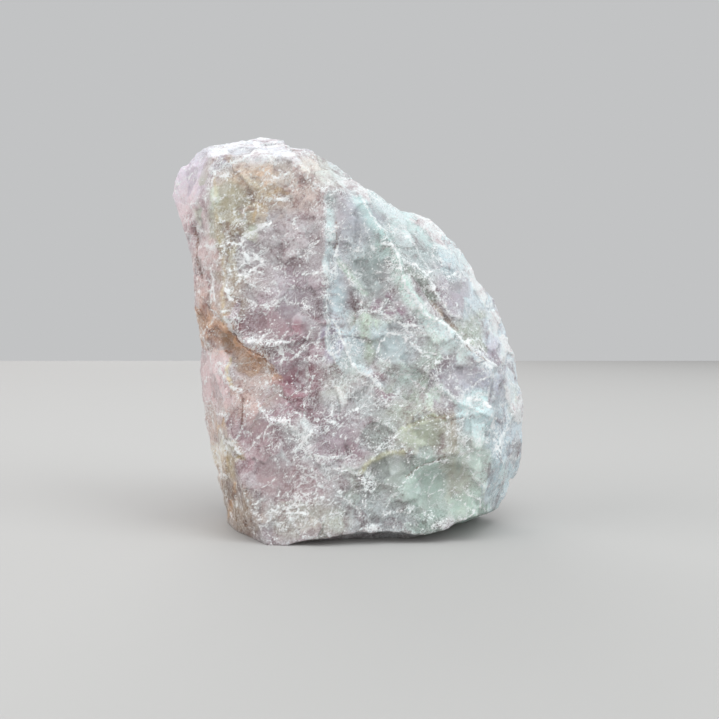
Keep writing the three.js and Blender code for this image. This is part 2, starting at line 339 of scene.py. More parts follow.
# White veins and frosted edges along the front: half width, strength, points.
VEINS = [
    # the crown
    (0.5, 0.9, (-43, 131.5), (-39, 133), (-35, 134.5), (-32, 137)),
    (0.4, 0.8, (-31, 137), (-29, 134.5), (-27, 133)),
    (0.5, 0.8, (-61, 124), (-58.5, 126), (-56, 127.5), (-53, 130)),
    (0.5, 0.9, (-47, 130), (-46, 128.5), (-44, 128), (-41, 128.5)),
    (0.4, 0.7, (-30, 131), (-27, 128), (-23, 127), (-21, 129), (-17, 132)),
    (0.5, 0.8, (-12, 124), (-8, 122.5), (-6, 125), (-4, 128)),
    # the upper left
    (0.5, 0.8, (-47, 126.5), (-47, 124.5)),
    (0.35, 0.8, (-56, 113), (-54, 112.5), (-51, 109.5), (-49, 107.6), (-46.5, 108.5)),
    (0.35, 0.8, (-39.5, 116), (-38.2, 113), (-37.2, 111), (-35.6, 114), (-34.8, 118)),
    (0.45, 0.9, (-28, 120), (-25, 119.6), (-20, 120.4)),
    (0.3, 0.6, (-32, 114), (-30.5, 117.5), (-28, 119.6)),
    (0.7, 1, (-44, 103.5), (-41, 104.5), (-38, 104), (-36.5, 105.2)),
    (0.5, 0.9, (-37, 106.5), (-33, 108.5), (-29, 110.5), (-26, 111.5)),
    (0.6, 0.9, (-48.5, 104), (-46.6, 102.5), (-46, 104)),
    (0.7, 1, (-36, 101), (-34, 99), (-31, 100), (-29.5, 98)),
    (0.35, 0.8, (-18.5, 113), (-18, 110.5)), (0.5, 0.7, (-15, 102), (-13, 104), (-12, 105)),
    # the middle left
    (0.5, 0.9, (-41, 95), (-38, 95.3), (-36, 97.5), (-34.5, 98)),
    (0.6, 0.9, (-36, 92.5), (-34, 95), (-32.5, 96), (-30, 94)),
    (0.6, 1, (-36, 91.5), (-33.5, 90.3), (-32, 89)),
    (0.9, 0.9, (-42, 88.5), (-41, 86.5), (-40, 85)),
    (0.6, 0.8, (-45.5, 84), (-46.5, 88), (-46.4, 92), (-47.5, 96)),
    (0.4, 0.8, (-47.5, 84), (-46, 81.5), (-44, 80.3)), (0.5, 0.8, (-26, 96), (-23, 95), (-21, 94)),
    (0.45, 0.9, (-15.5, 94), (-12.5, 93.8), (-9, 95.4)), (0.5, 0.9, (-34.5, 84.3), (-32.5, 83.5)),
    (0.5, 0.8, (-29, 83.5), (-27.5, 82), (-26.5, 81)),
    (0.35, 0.9, (-20, 84), (-16, 83.6), (-13.5, 81.8), (-11.5, 79.6)),
    (0.3, 0.8, (-35.8, 78), (-34.5, 75), (-32.8, 71.8), (-31, 68.6), (-29.6, 66)),
    # the edge over the diagonal break
    (1, 1, (-42, 79), (-40.8, 77), (-40, 74), (-38, 71.8), (-35.6, 69.6), (-33, 68.4)),
    (1, 0.9, (-39, 78), (-37.6, 76), (-38, 74)),
    (0.5, 1, (-33.5, 70.6), (-30, 70), (-26.5, 70.6), (-24, 69.6), (-20, 70)),
    (0.7, 1, (-24, 69.4), (-23, 67.2), (-24, 65.6), (-22, 65), (-23.2, 62.8)),
    (0.3, 0.8, (-31, 68.4), (-28.5, 69), (-26, 67.6), (-24.5, 66)),
    (0.3, 0.8, (-20, 70), (-16, 71.8), (-12, 75.2)),
    # round the deep rose spot, and the pink lobe at the left
    (0.4, 0.9, (-18.5, 64.4), (-16.5, 66), (-15.5, 68.4), (-12.5, 69.6), (-10.5, 69)),
    (0.35, 0.8, (-13, 64), (-10.5, 65.2), (-8.5, 64.6)),
    (0.35, 0.8, (-27, 59), (-26.4, 55), (-24, 52), (-21, 50.6), (-17, 52.4), (-13.5, 55),
     (-11.5, 58.5)),
    (0.6, 0.8, (-14.5, 59), (-12.5, 57), (-13.5, 55.2)),
    (0.35, 0.8, (-48.5, 60), (-46, 62.6), (-43.8, 62.6), (-42.6, 59), (-40.5, 55), (-37.5, 53)),
    (0.6, 0.7, (-49, 55), (-48, 58)),
    # the upright band
    (0.4, 0.75, (-8.2, 98), (-7.8, 90), (-7.7, 82), (-7.4, 72), (-6.6, 66.4), (-4.4, 62.4)),
    (0.6, 0.9, (-7.4, 95.5), (-5, 93.8), (-3, 93)),
    (0.35, 0.8, (-7.4, 86), (-6, 83.5), (-4.4, 82.4)),
    (0.5, 1, (-5, 77), (-3.4, 74.4), (-1.8, 71), (-0.4, 66.5), (1, 64)),
    (0.8, 0.7, (-7.5, 119), (-7.6, 112), (-6.8, 107)),
    (0.8, 0.8, (-3.4, 104), (-4.2, 100), (-6, 97)),
    (0.35, 0.8, (-2.6, 98), (0, 94.5), (3.4, 90.5), (6, 87.6)),
    (0.3, 0.7, (0.5, 97), (2.5, 94.4), (5, 92)),
    # round the smooth grey facet right of it
    (0.3, 0.8, (-2.4, 106.6), (1, 105.6), (3.2, 105)),
    (0.3, 0.8, (1, 103.2), (3, 102), (5.4, 100.4)),
    (0.3, 0.7, (-8, 122.4), (-3, 121.6), (1, 121), (5, 120.2)),
    (0.8, 0.8, (5, 120), (7, 116), (9.4, 111.6), (11, 109.6)),
    (0.4, 0.9, (11, 109.6), (13, 108.6), (13.6, 106.4), (12.2, 105.2)),
    # the two light ridges and the crack between them
    (0.8, 1, (12.4, 104.6), (16, 103.6), (17.6, 101), (18.6, 97), (19, 92.4), (21.4, 87),
     (28, 78.6)),
    (0.45, 0.9, (19.4, 99.4), (22.4, 97.4), (24.8, 96.6), (27, 93.6), (29.6, 89.6), (32.4, 84.4),
     (38, 75.4)),
    (0.5, 1, (28, 78.6), (31, 78.2), (34.6, 75.4), (38, 73.2), (39.6, 70.8), (46.6, 65),
     (51, 61.2)),
    (0.4, 0.8, (44.6, 71.6), (46.8, 67.4), (49.4, 64)), (0.6, 0.8, (44, 64), (47, 62.4), (50, 61)),
    # the shoulder
    (0.6, 0.8, (10.6, 95), (13, 93.6), (14.6, 96), (16.6, 96.6)),
    (0.4, 0.8, (14, 110.6), (18, 108.4), (21.5, 106)),
    (0.8, 0.7, (29.6, 108), (30.6, 104), (30, 99)), (0.4, 0.7, (31, 99), (33, 97), (36, 96.4)),
    (0.4, 0.8, (35, 92.6), (38, 94), (42, 94.4)), (0.4, 0.7, (32, 87), (35, 90), (38, 91.6)),
    # the middle, with the round plate
    (0.35, 0.9, (4.6, 84), (4, 81), (5.6, 81.6), (9.6, 80.4), (12.6, 82.4), (15, 85.4)),
    (0.5, 1, (9.6, 80.4), (14, 79.6), (17, 77.6), (20, 76.4), (25, 75)),
    (0.3, 0.7, (14, 82.4), (16.4, 81.6), (17, 79)),
    (0.45, 0.9, (10.4, 66), (11.6, 70), (14.4, 72.8), (18.4, 73), (21.6, 70.4), (24.6, 67.4),
     (28, 64)),
    (0.5, 0.8, (10, 64.6), (12.6, 63.4), (14.6, 64)),
    (0.5, 1, (1, 63), (4.6, 59.6), (8, 57.6), (11.4, 54.8)),
    (0.3, 0.8, (3.6, 57), (7, 55.4), (10, 54.6)),
    (0.35, 0.8, (13, 60.4), (17, 59.2), (21, 58.4), (24.6, 58.6)),
    (0.5, 0.8, (22, 57), (24.6, 54.6), (27, 54), (28, 50.6)),
    (0.35, 0.9, (31, 64), (31.2, 60), (31, 56), (33.6, 53.4), (37, 50.6), (39.6, 49.2)),
    (0.9, 0.6, (28.6, 63), (28.8, 57), (28.4, 51)),
    (0.4, 0.7, (-2, 50.6), (5, 50.8), (12, 50), (16, 51)),
    (0.3, 0.7, (13, 48), (15.6, 50.2), (19, 52)),
    # the right side
    (0.35, 0.8, (40.6, 53), (44, 54.2), (47, 56.4), (50, 58)),
    (0.4, 0.8, (43, 58.6), (47, 59.6), (50, 60.4)), (0.5, 1, (42, 50), (45, 50), (49.6, 47.4)),
    (0.35, 0.8, (54, 47.6), (57, 49), (59.8, 51)), (0.6, 0.9, (52.6, 32), (54, 36), (56.4, 39.6)),
    (0.5, 0.9, (50.6, 43), (52, 43), (51.8, 40)),
    # the lower right
    (0.3, 0.8, (10, 33), (14, 33.2), (18, 34), (22, 34.8), (26, 34.2)),
    (0.3, 0.7, (8, 44), (10, 42.4), (13, 41.2), (16, 40)),
    (0.35, 0.9, (19, 20), (22, 23), (26, 26.8), (30, 27.6), (35, 29)),
    (0.25, 0.7, (41.4, 30), (42.4, 26), (45, 22)),
    (0.4, 0.9, (41.6, 17), (44.6, 16), (46.4, 14.6), (47.4, 12), (49.4, 10.6)),
    (0.4, 0.9, (-3, 25), (1, 24.4), (4.6, 22.6), (6.4, 21), (6, 17), (6.4, 12.4)),
    (0.4, 0.8, (14.6, 9.6), (18, 10.4), (22, 11), (24, 12.6)),
    (0.6, 0.9, (5, 4), (8, 4.6), (12, 3.8)), (0.4, 0.7, (30, 5), (36, 7), (42, 8.6), (46, 10)),
    (0.7, 0.8, (44.6, 33), (46.4, 36), (49, 35)),
    # the lower left
    (0.55, 1, (-28.8, 44.8), (-27.4, 43.6), (-26.6, 42), (-20.4, 42.4), (-20, 41), (-18, 40.4)),
    (0.4, 0.9, (-26.8, 41.8), (-28, 40), (-29, 37.6), (-28.8, 36)),
    (0.5, 1, (-17.8, 45.4), (-16, 44.6), (-16.2, 43), (-14.6, 41.6)),
    (1, 0.9, (-19, 31.6), (-16, 34), (-13, 37), (-11.4, 40)),
    (0.4, 1, (-16, 33), (-13, 30.4), (-10.6, 29.6), (-6, 29.4), (0, 29.8)),
    (0.3, 0.9, (-18.4, 30), (-18.2, 27)), (0.5, 0.8, (-9, 28), (-8, 26), (-5, 25.6)),
    (0.7, 0.9, (-22, 11.6), (-19, 12.4), (-15, 13), (-13, 11)),
    (0.6, 1, (-21, 10), (-17, 10), (-14, 9.4)), (0.7, 0.8, (-25, 7), (-23.6, 5.6), (-22.4, 7)),
    (0.4, 0.8, (-13, 6.6), (-10, 7.4), (-6, 9.6), (-1, 10)),
    (0.4, 0.8, (-14, 1.8), (-9, 1.8), (-5, 2)), (0.7, 0.8, (-31, 48), (-29, 46)),
    (0.4, 0.8, (-36.4, 37), (-35, 38.8), (-34.4, 36.6)),
    (0.8, 0.9, (-41, 34.8), (-39, 33.6), (-37.6, 31)),
    (0.5, 0.9, (-45, 45), (-43, 44.4), (-42, 43.6)),
    (1, 0.8, (-45.6, 31), (-43.6, 33.6), (-42, 31.6)),
    (0.5, 0.8, (-44.6, 27), (-43.6, 24.6), (-41.6, 22.6)),
    (0.7, 0.8, (-4.6, 48), (-5.4, 44), (-3, 40.6), (-1, 42)),
]

# Dark hairline cracks, stained brown, drawn in the same way.
CRACKS = [
    (0.35, 1, (40.4, 69.4), (43.4, 66.6), (47, 64.2), (49, 63.2)),
    (0.5, 0.6, (22.6, 95.8), (22.8, 92.6), (25, 89), (28, 86)),
    (0.35, 0.6, (30.4, 84), (32.6, 80.8), (35, 77.8), (37.6, 75.2)),
    (0.35, 0.8, (-47.6, 83.4), (-44, 79), (-42.4, 76)),
    (0.35, 0.8, (-49.6, 75.4), (-46, 72.6), (-43, 69.4)),
    (0.4, 1, (-40.6, 73.6), (-37.4, 70.4), (-34, 67.8), (-30, 65), (-26.4, 61.6), (-25, 59.4)),
    (0.6, 1, (-41.8, 66.4), (-40.8, 66)), (0.35, 0.9, (-36.2, 50), (-36.6, 44), (-37.4, 38.6)),
    (0.3, 0.8, (-20.6, 50), (-16, 53), (-14, 55.4)),
    (0.3, 0.8, (20.4, 40.4), (25, 42), (29.6, 44), (33.6, 43.8)),
    (0.3, 0.8, (34, 41.6), (37, 42.8), (40, 43.6)),
    (0.4, 0.8, (21, 22.6), (24, 26), (29, 28.4), (33, 29.6), (37, 30)),
    (0.35, 0.7, (-4.2, 114), (-3.6, 109), (-3.8, 104), (-5, 102.6)),
    (0.4, 0.8, (12.6, 108), (13.8, 106.4)), (0.45, 0.7, (2.8, 84), (3, 80), (2.4, 76)),
    (0.3, 0.8, (-4.4, 76.4), (-2.6, 73.6), (-1.6, 70)),
    (0.5, 0.9, (-52.4, 110), (-51.6, 104), (-51, 96), (-49.4, 92)),
    (0.5, 0.9, (-39.8, 18), (-39.6, 15.6)), (0.45, 0.6, (-36, 10), (-35.6, 6), (-33, 4)),
    (0.45, 0.6, (-33, 12), (-31.6, 7), (-29.6, 4)),
]


# ---- Noise ----

HASH_BITS = 0xFFFFFFFF
HASH_AXES = (374761393, 668265263, 1442695041)  # large odd numbers, which scatter their products
HASH_SEED = 974634777
HASH_MIXES = ((13, 1274126177), (16, 1103515245))
HASH_LAST = 15


def lattice(cell, seed):
    """One random number in 0..1 for each whole-number cell, the same on every run."""
    h = (cell @ np.array(HASH_AXES) + seed * HASH_SEED) & HASH_BITS
    for shift, factor in HASH_MIXES:
        h = ((h ^ (h >> shift)) * factor) & HASH_BITS
    return (h ^ (h >> HASH_LAST)) / HASH_BITS


def noise(points, size, seed):
    """Smooth noise in -1..1 that varies over `size`."""
    q = points / size
    cell = np.floor(q).astype(np.int64)
    f = q - cell
    f = f * f * (3 - 2 * f)
    total = np.zeros(len(points))
    for corner in itertools.product((0, 1), repeat=3):
        share = np.prod(np.where(corner, f, 1 - f), axis=1)
        total += share * lattice(cell + corner, seed)
    return 2 * total - 1


def layered(points, size, seed, layers=4):
    """Noise with finer noise on top of it, in about -1..1."""
    total = np.zeros(len(points))
    for k in range(layers):
        total += noise(points, size / 2**k, seed + 17 * k) / 2**k
    return total / 1.5


def warped(points, size, reach, seed):
    """The points pushed about by up to `reach`, so that what is drawn on them gets ragged."""
    push = [layered(points, size, seed + 101 * k, 3) for k in range(3)]
    return points + reach * np.stack(push, axis=1)


def three(cell, seed):
    """Three random numbers in 0..1 for each cell."""
    return np.stack([lattice(cell, seed + k) for k in range(3)], axis=1)


def around(points, size, seed):
    """Each of the 27 cells around the points, and where they are from its random middle."""
    q = points / size
    cell = np.floor(q).astype(np.int64)
    for step in itertools.product((-1, 0, 1), repeat=3):
        near = cell + step
        yield near, q - (near + three(near, seed))


def flakes(points, size, seed, tilt):
    """Flake scars: each point takes the lowest of the tilted bowls around it.

    Returns the height, in units of size, and how near the point is to the sharp ridge between
    two scars, 1 on the ridge and 0 away from it.
    """
    lowest = np.full(len(points), np.inf)
    second = lowest.copy()
    for near, away in around(points, size, seed):
        lean = three(near, seed + 5) - 0.5
        height = (away**2).sum(axis=1) + tilt * (lean * away).sum(axis=1)
        second = np.minimum(second, np.maximum(lowest, height))
        lowest = np.minimum(lowest, height)
    return lowest, np.clip(1 - (second - lowest) / FLAKE_RIDGE, 0, 1)


def plates(points, size, seed):
    """The flat plates of the broken surface.

    Returns three random numbers in 0..1 for the plate that each point is on, and how near the
    point is to the plate's edge, 1 on the edge and 0 away from it.
    """
    nearest = np.full(len(points), np.inf)
    second = nearest.copy()
    owner = np.zeros(points.shape, np.int64)
    for near, away in around(points, size, seed):
        gap = (away**2).sum(axis=1)
        closer = gap < nearest
        second = np.where(closer, nearest, np.minimum(second, gap))
        owner[closer] = near[closer]
        nearest = np.minimum(nearest, gap)
    return three(owner, seed + 7), np.clip(1 - (second - nearest) / PLATE_EDGE, 0, 1)


# ---- Drawing on the front ----


def on_front(points):
    """Where each point shows on the front plane to an eye in front of the stone."""
    scale = (FRONT_PLANE - EYE[1]) / (points[:, 1] - EYE[1])
    x = EYE[0] + (points[:, 0] - EYE[0]) * scale
    z = EYE[2] + (points[:, 2] - EYE[2]) * scale
    return np.stack([x, z], axis=1)


def along(flat, line, reach):
    """Signed distance to a line of points, positive on the right of its direction.

    Points further than `reach` from the line's box are infinitely far away.
    """
    ends = np.array(line, float)
    inside = (flat > ends.min(axis=0) - reach) & (flat < ends.max(axis=0) + reach)
    chosen = np.flatnonzero(inside.all(axis=1))
    near = flat[chosen]
    best = np.full(len(near), np.inf)
    side = np.ones(len(near))
    for a, b in itertools.pairwise(ends):
        run = b - a
        t = np.clip(((near - a) @ run) / (run @ run), 0, 1)
        away = near - (a + t[:, None] * run)
        gap = np.hypot(away[:, 0], away[:, 1])
        turn = run[1] * away[:, 0] - run[0] * away[:, 1]
        closer = gap < best
        side = np.where(closer, np.sign(turn), side)
        best = np.minimum(best, gap)
    signed = np.full(len(flat), np.inf)
    signed[chosen] = best * side
    return signed


def oval(flat, centre, wide, tall, turn=0.0, edge=1.3):
    """1 in the middle of a turned oval and 0 well outside it; a higher edge ends more sharply."""
    a = math.radians(turn)
    dx, dz = (flat - centre).T
    across = (dx * math.cos(a) + dz * math.sin(a)) / wide
    up = (dz * math.cos(a) - dx * math.sin(a)) / tall
    return np.exp(-((across**2 + up**2) ** edge))


def smooth_step(low, high, value):
    t = np.clip((value - low) / (high - low), 0, 1)
    return t * t * (3 - 2 * t)


def towards_front(facing, fade):
    """1 where the skin looks to the front and 0 where it has turned away, over `fade`."""
    return smooth_step(*fade, -facing[:, 1])


def linear(colour):
    """An 8-bit display colour as linear light."""
    c = np.array(colour, float) / 255
    return np.where(c <= 0.04045, c / 12.92, ((c + 0.055) / 1.055) ** 2.4)


# ---- The stone ----


def placed(name, data):
    """A new object in the scene."""
    made = bpy.data.objects.new(name, data)
    bpy.context.scene.collection.objects.link(made)
    return made


def remeshed(node):
    """A fine, even copy of the CAD node's mesh."""
    piece = placed("rose_quartz", node.data.copy())
    piece.data.materials.clear()
    remesh = piece.modifiers.new("even", "REMESH")
    remesh.mode = "VOXEL"
    remesh.voxel_size = VOXEL * MM
    graph = bpy.context.evaluated_depsgraph_get()
    fine = bpy.data.meshes.new_from_object(piece.evaluated_get(graph))
    piece.modifiers.clear()
    piece.data = fine
    return piece


def numbers(items, name, width=1, kind=float):
    """The numbers of a mesh's items, `width` of them for each item."""
    out = np.empty(len(items) * width, kind)
    items.foreach_get(name, out)
    return out.reshape(-1, width) if width > 1 else out


def coordinates(mesh):
    return numbers(mesh.vertices, "co", 3) / MM


def relief(points, facing, given, edge):
    """How far each point of the skin moves outwards, in mm, and how sharp a crest it is on."""
    ragged = warped(points, *RAGGED_FLAKES, SEED)
    height = PLATE_STEP * (given[:, 0] - 0.5)
    crest = PLATE_CREST * edge * smooth_step(*FROSTED_PLATES, given[:, 1])
    for k, (size, deep, tilt) in enumerate(FLAKE_SCALES):
        scar, ridge = flakes(ragged, size, SEED + 31 * k, tilt)
        height += deep * (scar - FLAKE_MEAN)
        crest = np.maximum(crest, FLAKE_CREST * ridge * min(1.0, deep))

    seen = towards_front(facing, SEEN_RELIEF)
    flat = on_front(warped(points, *RAGGED_LEDGES, SEED + 3))
    for tall, left, right, *line in LEDGES:
        gap = along(flat, line, 4 * max(left, right))
        height += seen * tall * np.exp(-np.abs(gap) / np.where(gap < 0, left, right))
    for deep, half, *line in GROOVES:
        gap = along(flat, line, 3 * half)
        height -= seen * deep * np.exp(-((gap / half) ** 2))
    for (x, z), radius, deep in RIPPLES:
        r = np.hypot(flat[:, 0] - x, flat[:, 1] - z) / radius
        bowl = deep * (r**2 - 1 + RIPPLE_SHARE * np.cos(r * RIPPLE_RATE))
        height += seen * np.where(r < 1, bowl, 0)
    for lines, rise in ((VEINS, VEIN_RISE), (CRACKS, -CRACK_DEPTH)):
        for half, strength, *line in lines:
            reach = half + LINE_SLOPE
            gap = np.abs(along(flat, line, 2 * reach))
            height += rise * seen * strength * np.clip(1 - gap / reach, 0, 1)

    height += GRAIN_RELIEF * layered(points, GRAIN_SIZE, SEED + 77, 2)
    return height, crest


def settle(points, moved):
    """The skin keeps its flat foot: near the floor the relief fades, and nothing goes below it."""
    fade = smooth_step(0.0, REST_BAND, points[:, 2])[:, None]
    out = points + (moved - points) * (REST_SHARE + (1 - REST_SHARE) * fade)
    out[points[:, 2] < BASE_BAND, 2] = 0
    out[:, 2] = np.maximum(out[:, 2], 0)
    return out


def hidden_colours(points):
    """Clouds of rose, milk, sky and honey for the sides that face away."""
    colour = np.tile(linear(ROSE), (len(points), 1))
    for size, span, share, own, shade in HIDDEN_CLOUDS:
        cloud = share * smooth_step(*span, layered(points, size, SEED + own))
        colour += cloud[:, None] * (linear(shade) - colour)
    return colour


def zone_colours(points, given, facing):
    """The stone's milky colours, with painted highlights on the crown, shoulder and rims, one
    linear colour for each point.
    """
    flat = on_front(warped(points, *RAGGED_ZONES, SEED + 200))
    flat += PLATE_SHIFT * (given[:, 1:] - 0.5)
    weight = np.full(len(points), PLAIN_WEIGHT)
    colour = weight[:, None] * linear(MAUVE)
    for x, z, wide, tall, shade, strength, *turn in ZONES:
        w = strength * oval(flat, (x, z), wide, tall, *turn)
        weight += w
        colour += w[:, None] * linear(shade)
    flat = on_front(warped(points, *RAGGED_BANDS, SEED + 210))
    for left, right, shade, strength, *line in BANDS:
        gap = along(flat, line, 3 * max(left, right))
        w = strength * np.exp(-((gap / np.where(gap < 0, left, right)) ** 2))
        weight += w
        colour += w[:, None] * linear(shade)
    colour /= weight[:, None]

    plain = linear(MAUVE)
    colour = plain + RICHNESS * (colour - plain)
    grey = colour.mean(axis=1)[:, None]
    colour = grey + TINT * (colour - grey)
    colour *= MEAN_TONE + PLATE_TONE * (given[:, :1] - 0.5)
    colour = np.clip(colour, *TONE_LIMITS)
    seen = towards_front(facing, SEEN_COLOUR)
    seen *= 1 - FAR_SHARE * smooth_step(*FAR_SIDE, points[:, 1])
    seen = seen[:, None]
    return seen * colour + (1 - seen) * hidden_colours(points)


def calm_strength(points):
    """How smooth and free of frost each point is, in 0..1."""
    flat = on_front(warped(points, *RAGGED_CALM, SEED + 230))
    total = np.zeros(len(points))
    for x, z, wide, tall in CALM:
        total = np.maximum(total, oval(flat, (x, z), wide, tall, edge=CALM_EDGE))
    return total


def frost_strength(points, facing):
    """How thick the frost lies at each point, about 0..1: from the listed places in front, at
    random behind.
    """
    flat = on_front(warped(points, *RAGGED_FROST, SEED + 250))
    total = np.zeros(len(points))
    for x, z, wide, tall, strength, *turn in FROSTY:
        total = np.maximum(total, strength * oval(flat, (x, z), wide, tall, *turn))
    for _, strength, *line in VEINS:
        gap = along(flat, line, 2 * VEIN_FROST)
        total = np.maximum(total, strength * np.exp(-((gap / VEIN_FROST) ** 2)))
    scattered = smooth_step(-0.1, 0.7, layered(points, 12.0, SEED + 260))
    seen = towards_front(facing, SEEN_FROST)
    return seen * np.maximum(total, LOOSE_FROST * scattered) + (1 - seen) * scattered


def drawn(points, facing, lines, seed):
    """How near each point is to the drawn lines: 1 on a line, 0.5 at its half width."""
    flat = on_front(warped(points, *RAGGED_LINES, seed))
    total = np.zeros(len(points))
    for half, strength, *line in lines:
        gap = np.abs(along(flat, line, 2 * half))
        total = np.maximum(total, strength * (1 - gap / (2 * min(half, WIDEST_VEIN))))
    return total * towards_front(facing, SEEN_LINES)


def hidden_veins(points, facing):
    """Long wandering white veins on the sides that face away, along the zeros of a noise."""
    wander = layered(warped(points, *RAGGED_HIDDEN, SEED + 340), 24.0, SEED + 350)
    broken = smooth_step(-0.1, 0.3, layered(points, 9.0, SEED + 360, 3))
    line = np.clip(1 - np.abs(wander) / 0.035, 0, 1)
    return line * broken * smooth_step(*HIDDEN_LINES, facing[:, 1])


def paint(mesh, name, values):
    """Stores one number or one colour for each point."""
    kind, key = ("FLOAT", "value") if values.ndim == 1 else ("FLOAT_COLOR", "color")
    if values.ndim == 2:
        values = np.column_stack([values, np.ones(len(values))])
    layer = mesh.attributes.new(name, kind, "POINT")
    layer.data.foreach_set(key, values.astype(np.float32).ravel())


# The six flat islands of the bake: the way that their faces look, then the axis that runs across
# the island and the one that runs up it, each with its sign.
ISLANDS = [
    ((0, -1, 0), (0, 1), (2, 1)),
    ((0, 1, 0), (0, -1), (2, 1)),
    ((-1, 0, 0), (1, -1), (2, 1)),
    ((1, 0, 0), (1, 1), (2, 1)),
    ((0, 0, 1), (0, 1), (1, 1)),
    ((0, 0, -1), (0, 1), (1, -1)),
]
SECOND_ROW = 2  # the first two islands are in one row, and the others in a row above it
STACKED = 4  # the last island lies above this one
ISLAND_GAP = 4.0


def box_unwrap(mesh, facing):
    """Lays each face in the island of the way that the stone's smoothed surface looks there."""
    loops = numbers(mesh.loops, "vertex_index", kind=np.int64)
    sides = numbers(mesh.polygons, "loop_total", kind=np.int64)
    owner = np.repeat(np.arange(len(sides)), sides)
    mean = np.zeros((len(sides), 3))
    np.add.at(mean, owner, facing[loops])
    ways = np.array([way for way, _, _ in ISLANDS], float)
    island = np.argmax(mean @ ways.T, axis=1)[owner]
    points = coordinates(mesh)[loops]
    uv = np.zeros((len(loops), 2))
    corner = np.zeros(2)
    row = 0.0
    for k, (_, (u, u_sign), (v, v_sign)) in enumerate(ISLANDS):
        chosen = island == k
        flat = np.stack([points[chosen, u] * u_sign, points[chosen, v] * v_sign], axis=1)
        low, high = flat.min(axis=0), flat.max(axis=0)
        if k == SECOND_ROW:
            corner = np.array([0.0, row + ISLAND_GAP])
        uv[chosen] = flat - low + corner
        row = max(row, high[1] - low[1])
        wide, tall = high - low + ISLAND_GAP
        corner = corner + ((0, tall) if k == STACKED else (wide, 0))
    uv = (uv + ISLAND_GAP / 2) / (uv.max() + ISLAND_GAP)
    layer = mesh.uv_layers.new(name="OFBake")
    layer.data.foreach_set("uv", uv.astype(np.float32).ravel())


def blurred(mesh, values, rounds):
    """Values averaged with their neighbours', over and over."""
    if values.ndim == 2:
        return np.stack([blurred(mesh, column, rounds) for column in values.T], axis=1)
    ends = numbers(mesh.edges, "vertices", 2, np.int64)
    a, b = ends.T
    count = np.bincount(ends.ravel(), minlength=len(values))
    for _ in range(rounds):
        total = np.bincount(a, values[b], len(values)) + np.bincount(b, values[a], len(values))
        values = total / count
    return values


def blurred_ways(mesh, facing, rounds):
    """Unit directions averaged with their neighbours'."""
    ways = blurred(mesh, facing, rounds)
    return ways / np.linalg.norm(ways, axis=1)[:, None]


def build_stone():
    """The stone's skin: remeshed, broken up, painted, unwrapped and tied to the frame."""
    piece = remeshed(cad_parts["rose_quartz_chunk"])
    mesh = piece.data
    points = coordinates(mesh)
    facing = numbers(mesh.vertices, "normal", 3)
    soft_facing = blurred_ways(mesh, facing, SOFT_ROUNDS)
    push_way = blurred_ways(mesh, facing, PUSH_ROUNDS)

    given, edge = plates(warped(points, *RAGGED_PLATES, SEED + 5), PLATE_SIZE, SEED + 9)
    height, crest = relief(points, soft_facing, given, edge)
    moved = settle(points, points + push_way * height[:, None])
    mesh.vertices.foreach_set("co", (moved * MM).astype(np.float32).ravel())
    mesh.update()

    # how deep each point lies in a hollow, for the painted shade there
    hollow = height - blurred(mesh, height, HOLLOW_ROUNDS)
    paint(mesh, "zone", zone_colours(points, given, soft_facing))
    paint(mesh, "vein", np.maximum(
        drawn(points, soft_facing, VEINS, SEED + 300),
        hidden_veins(points, soft_facing),
    ))
    paint(mesh, "crack", drawn(points, soft_facing, CRACKS, SEED + 320))
    paint(mesh, "crest", crest)
    paint(mesh, "calm", calm_strength(points))
    paint(mesh, "frost", frost_strength(points, soft_facing))
    paint(mesh, "hollow", np.clip(0.5 + hollow / HOLLOW_RANGE, 0, 1))
    box_unwrap(mesh, soft_facing)
    mesh.shade_smooth()
    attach(piece, "root")
    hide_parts("rose_quartz_chunk")
    return piece


# ---- Materials ----


class Graph:
    """A short way to write a material's nodes."""

    def __init__(self, name):
        self.material = bpy.data.materials.new(name)
        self.material.use_nodes = True
        self.tree = self.material.node_tree
        self.shader = self.tree.nodes["Principled BSDF"]

    def node(self, kind, **settings):
        made = self.tree.nodes.new(kind)
        for key, value in settings.items():
            setattr(made, key, value)
        return made

    def feed(self, socket, value):
        if isinstance(value, bpy.types.NodeSocket):
            self.tree.links.new(value, socket)
        else:
            socket.default_value = value

    def fill(self, node, values):
        for name, value in values.items():
            self.feed(node.inputs[name], value)

    def attribute(self, name, output="Fac"):
        return self.node("ShaderNodeAttribute", attribute_name=name).outputs[output]

    def math(self, operation, a, b=0.0, clamp=False):
        made = self.node("ShaderNodeMath", operation=operation, use_clamp=clamp)
        self.feed(made.inputs[0], a)
        self.feed(made.inputs[1], b)
        return made.outputs[0]

    def plus(self, a, b):
        return self.math("ADD", a, b)

    def times(self, a, b):
        return self.math("MULTIPLY", a, b)

    def span(self, value, low, high, to_low=0.0, to_high=1.0):
        made = self.node("ShaderNodeMapRange", interpolation_type="SMOOTHSTEP")
        for index, given in enumerate((value, low, high, to_low, to_high)):
            self.feed(made.inputs[index], given)
        return made.outputs[0]

    def mix(self, share, a, b, blend="MIX"):
        made = self.node("ShaderNodeMix", data_type="RGBA", blend_type=blend)
        self.feed(made.inputs["Factor"], share)
        self.feed(made.inputs[6], a)
        self.feed(made.inputs[7], b)
        return made.outputs[2]

    def noise(self, place, scale, detail, rough, distort):
        made = self.node("ShaderNodeTexNoise")
        self.fill(made, {"Vector": place, "Scale": scale, "Detail": detail})
        self.fill(made, {"Roughness": rough, "Distortion": distort})
        return made.outputs["Fac"]


GRAIN_RISE = math.radians(40)  # the splitting runs up to the right
GRAIN_STRETCH = 1.6

